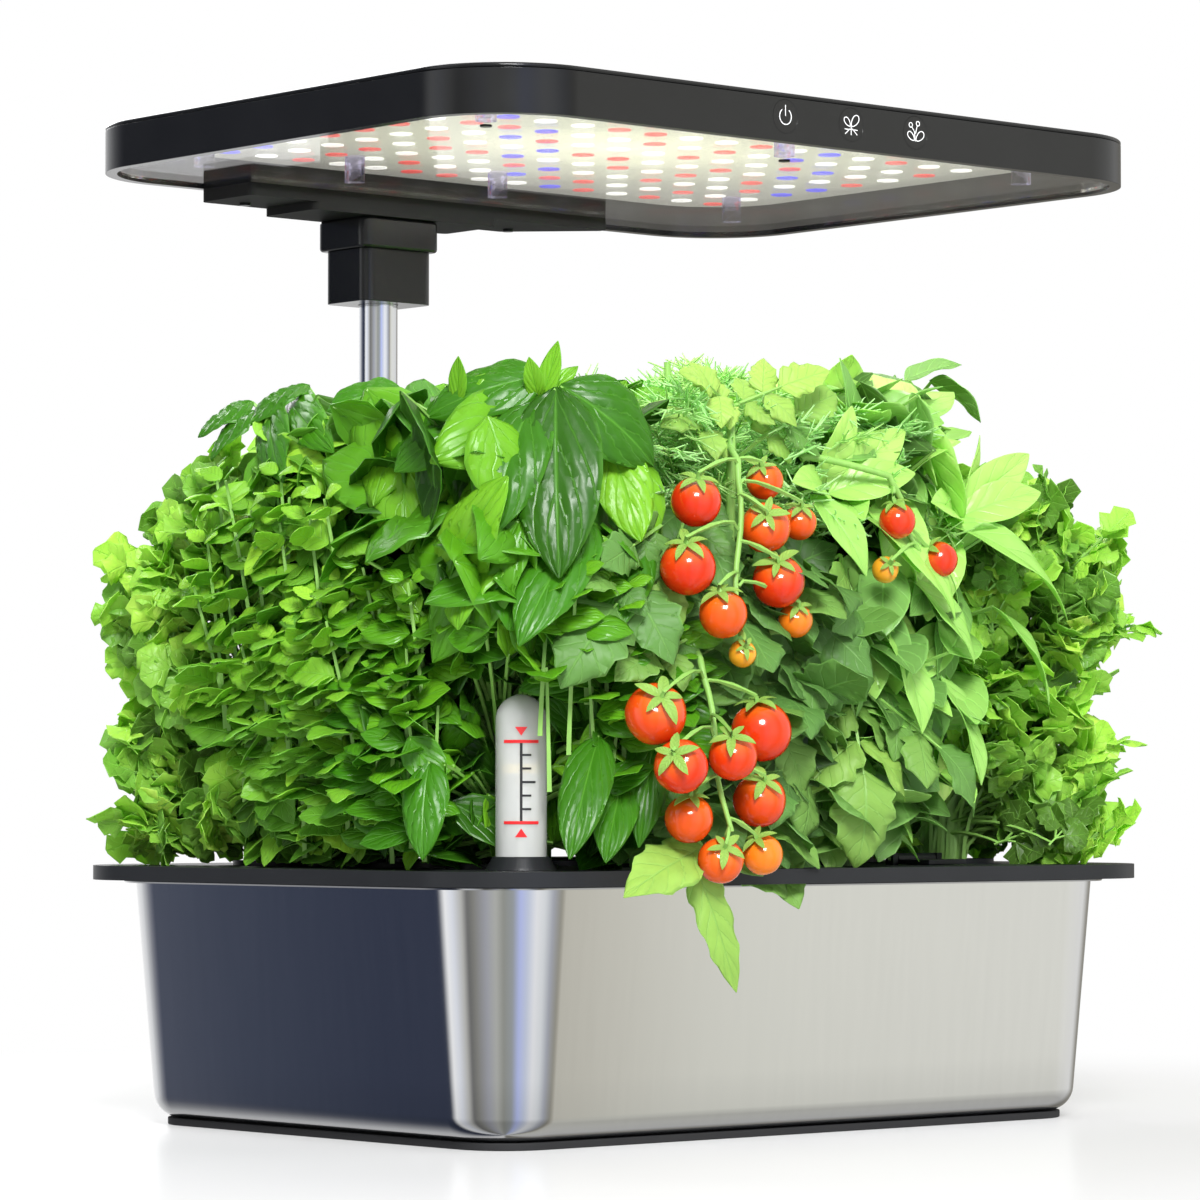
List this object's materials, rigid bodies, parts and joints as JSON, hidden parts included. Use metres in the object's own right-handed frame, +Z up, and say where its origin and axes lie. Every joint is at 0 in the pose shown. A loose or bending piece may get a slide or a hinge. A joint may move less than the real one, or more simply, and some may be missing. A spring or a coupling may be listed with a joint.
{
  "type": "countertop hydroponic garden",
  "caption": "Steel water tank with a lift-off planted grow deck, float gauge and pump, under a full-spectrum grow lamp on a telescopic pole.",
  "frame": {"origin": "centre of the flat underside of the anti-slip pad", "axes": "+Z up, +X along the long front face, -Y towards the front with the buttons"},
  "size_m": [0.38, 0.327, 0.4166],
  "materials": {
    "black_rubber": "matte",
    "polished_steel": "polished",
    "black_deck_plastic": "satin",
    "black_satin_plastic": "satin",
    "button_black": "satin",
    "black_screw": "satin",
    "sponge": "matte",
    "clear_tube": "gloss",
    "scale_print": "satin",
    "chrome_tube": "polished",
    "white_plastic": "satin",
    "yellow_plastic": "satin",
    "parsley_leaf": "matte",
    "mint_leaf": "matte",
    "basil_leaf": "satin",
    "tomato_leaf": "matte",
    "tomato_skin": "gloss",
    "dill_leaf": "matte",
    "pepper_leaf": "satin",
    "board_white": "satin",
    "white_light": "gloss",
    "red_light": "gloss",
    "blue_light": "gloss",
    "clear_post": "gloss",
    "clear_lens": "gloss",
    "board_green": "satin"
  },
  "bodies": {
    "tank": {"base_pad": "black_rubber", "water_tank": "polished_steel"},
    "deck": {"grow_deck": "black_deck_plastic", "grow_sponges": "sponge", "gauge_collar": "black_deck_plastic", "gauge_tube": "clear_tube", "gauge_scale": "scale_print", "pole_base": "black_satin_plastic", "base_screws": "black_screw", "lower_pole": "chrome_tube", "pole_bush": "black_satin_plastic", "power_inlet": "black_screw", "flap_pin": "chrome_tube", "pump_body": "black_satin_plastic", "pump_cover": "black_satin_plastic", "pump_riser": "black_satin_plastic", "impeller_shaft": "white_plastic", "basket_1": "black_deck_plastic", "basket_2": "black_deck_plastic", "basket_3": "black_deck_plastic", "basket_4": "black_deck_plastic", "basket_5": "black_deck_plastic", "basket_6": "black_deck_plastic", "basket_7": "black_deck_plastic", "basket_8": "black_deck_plastic", "basket_9": "black_deck_plastic", "basket_10": "black_deck_plastic", "basket_11": "black_deck_plastic", "basket_12": "black_deck_plastic", "parsley_plants": "parsley_leaf", "mint_plant": "mint_leaf", "basil_plants": "basil_leaf", "tomato_plant": "tomato_leaf", "tomato_fruit": "tomato_skin", "dill_plants": "dill_leaf", "pepper_plants": "pepper_leaf"},
    "float": {"float_body": "white_plastic", "float_rod": "white_plastic", "float_marker": "yellow_plastic"},
    "flap": {"fill_flap": "black_deck_plastic"},
    "impeller": {"impeller": "white_plastic"},
    "lamp": {"upper_pole": "chrome_tube", "pole_head": "black_satin_plastic", "lamp_socket": "black_satin_plastic", "lamp_bracket": "black_satin_plastic", "bracket_screws": "black_screw", "lamp_frame": "black_satin_plastic", "top_cover": "black_satin_plastic", "light_board": "board_white", "white_lights": "white_light", "red_lights": "red_light", "blue_lights": "blue_light", "cover_posts": "clear_post", "cover_screws": "black_screw", "lens_cover": "clear_lens", "control_board": "board_green"},
    "power_button": {"power_button": "button_black"},
    "leaf_button": {"leaf_button": "button_black"},
    "fruit_button": {"fruit_button": "button_black"}
  },
  "joints": [
    {"name": "deck_lift", "type": "slide", "parent": "tank", "child": "deck", "axis": [0, 0, 1], "range_m": [0, 0.13]},
    {"name": "float_rise", "type": "slide", "parent": "deck", "child": "float", "axis": [0, 0, 1], "range_m": [-0.0208, 0.0104]},
    {"name": "flap_hinge", "type": "hinge", "parent": "deck", "child": "flap", "pos_m": [0.082, -0.094, 0.1102], "axis": [-1, 0, 0], "range_deg": [0, 95]},
    {"name": "impeller_spin", "type": "hinge", "parent": "deck", "child": "impeller", "pos_m": [0.082, 0.035, 0.0262], "axis": [1, 0, 0], "continuous": true},
    {"name": "pole_extend", "type": "slide", "parent": "deck", "child": "lamp", "axis": [0, 0, 1], "range_m": [0, 0.13]},
    {"name": "power_press", "type": "slide", "parent": "lamp", "child": "power_button", "axis": [0, 1, 0], "range_m": [0, 0.0006], "stiffness_N_per_m": 600, "springref_m": -0.0006},
    {"name": "leaf_press", "type": "slide", "parent": "lamp", "child": "leaf_button", "axis": [0, 1, 0], "range_m": [0, 0.0006], "stiffness_N_per_m": 600, "springref_m": -0.0006},
    {"name": "fruit_press", "type": "slide", "parent": "lamp", "child": "fruit_button", "axis": [0, 1, 0], "range_m": [0, 0.0006], "stiffness_N_per_m": 600, "springref_m": -0.0006}
  ]
}
